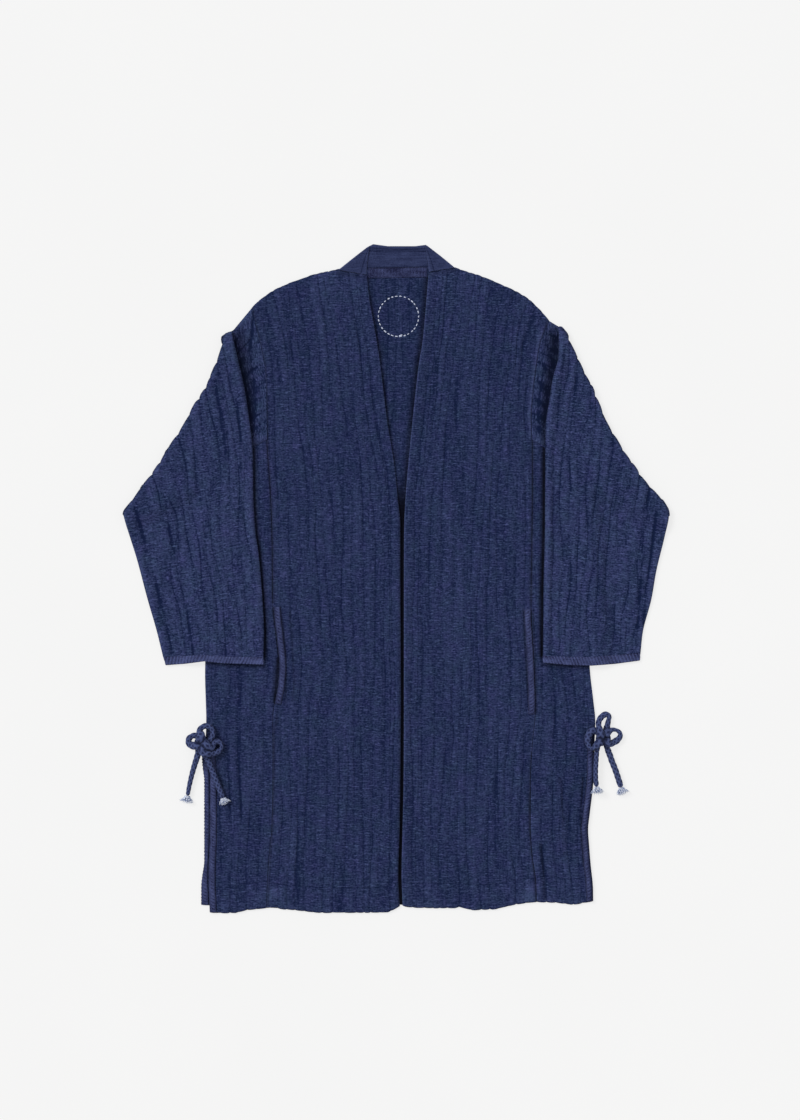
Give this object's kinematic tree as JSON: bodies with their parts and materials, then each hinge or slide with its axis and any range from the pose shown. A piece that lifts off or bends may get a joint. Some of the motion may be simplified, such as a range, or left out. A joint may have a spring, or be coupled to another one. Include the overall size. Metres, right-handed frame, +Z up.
{
  "type": "japanese work coat",
  "caption": "Open-fronted work coat in crinkled indigo cotton, laid flat with its sleeves folded over, with side slits tied by knotted cord.",
  "frame": {"origin": "under the middle of the coat's box, on the surface that it lies on", "axes": "+Y from hem to collar, +X towards the wearer's left, +Z up out of the surface, through the open front"},
  "size_m": [0.82, 1.0026, 0.0222],
  "materials": {
    "indigo_cloth": "matte crinkled cotton, slubby, with soft lengthwise ridges",
    "smooth_indigo": "matte plain-weave cotton",
    "purple_indigo": "matte ribbed binding with overcast stitches",
    "cord_indigo": "soft braided cotton cord",
    "frayed_ends": "frayed pale cotton yarn"
  },
  "bodies": {
    "root": {"back": "indigo_cloth", "front_right": "indigo_cloth", "front_left": "indigo_cloth", "side_panel_right": "indigo_cloth", "side_panel_left": "indigo_cloth", "sleeve_right": "indigo_cloth", "sleeve_left": "indigo_cloth", "sleeve_right_root": "indigo_cloth", "sleeve_left_root": "indigo_cloth", "collar_back": "smooth_indigo", "collar_right": "smooth_indigo", "collar_left": "smooth_indigo", "neck_tape": "purple_indigo", "cuff_right": "purple_indigo", "cuff_left": "purple_indigo", "pocket_welt_right": "purple_indigo", "pocket_welt_left": "purple_indigo", "slit_band_right": "purple_indigo", "slit_band_left": "purple_indigo", "slit_band_right_back": "purple_indigo", "tie_right_knot": "cord_indigo", "tie_right_back": "cord_indigo", "tie_right_front": "cord_indigo", "tie_left_knot": "cord_indigo", "tie_left_back": "cord_indigo", "tie_left_front": "cord_indigo", "tuft_right_back": "frayed_ends", "tuft_right_front": "frayed_ends", "tuft_left_back": "frayed_ends", "tuft_left_front": "frayed_ends"}
  },
  "joints": []
}
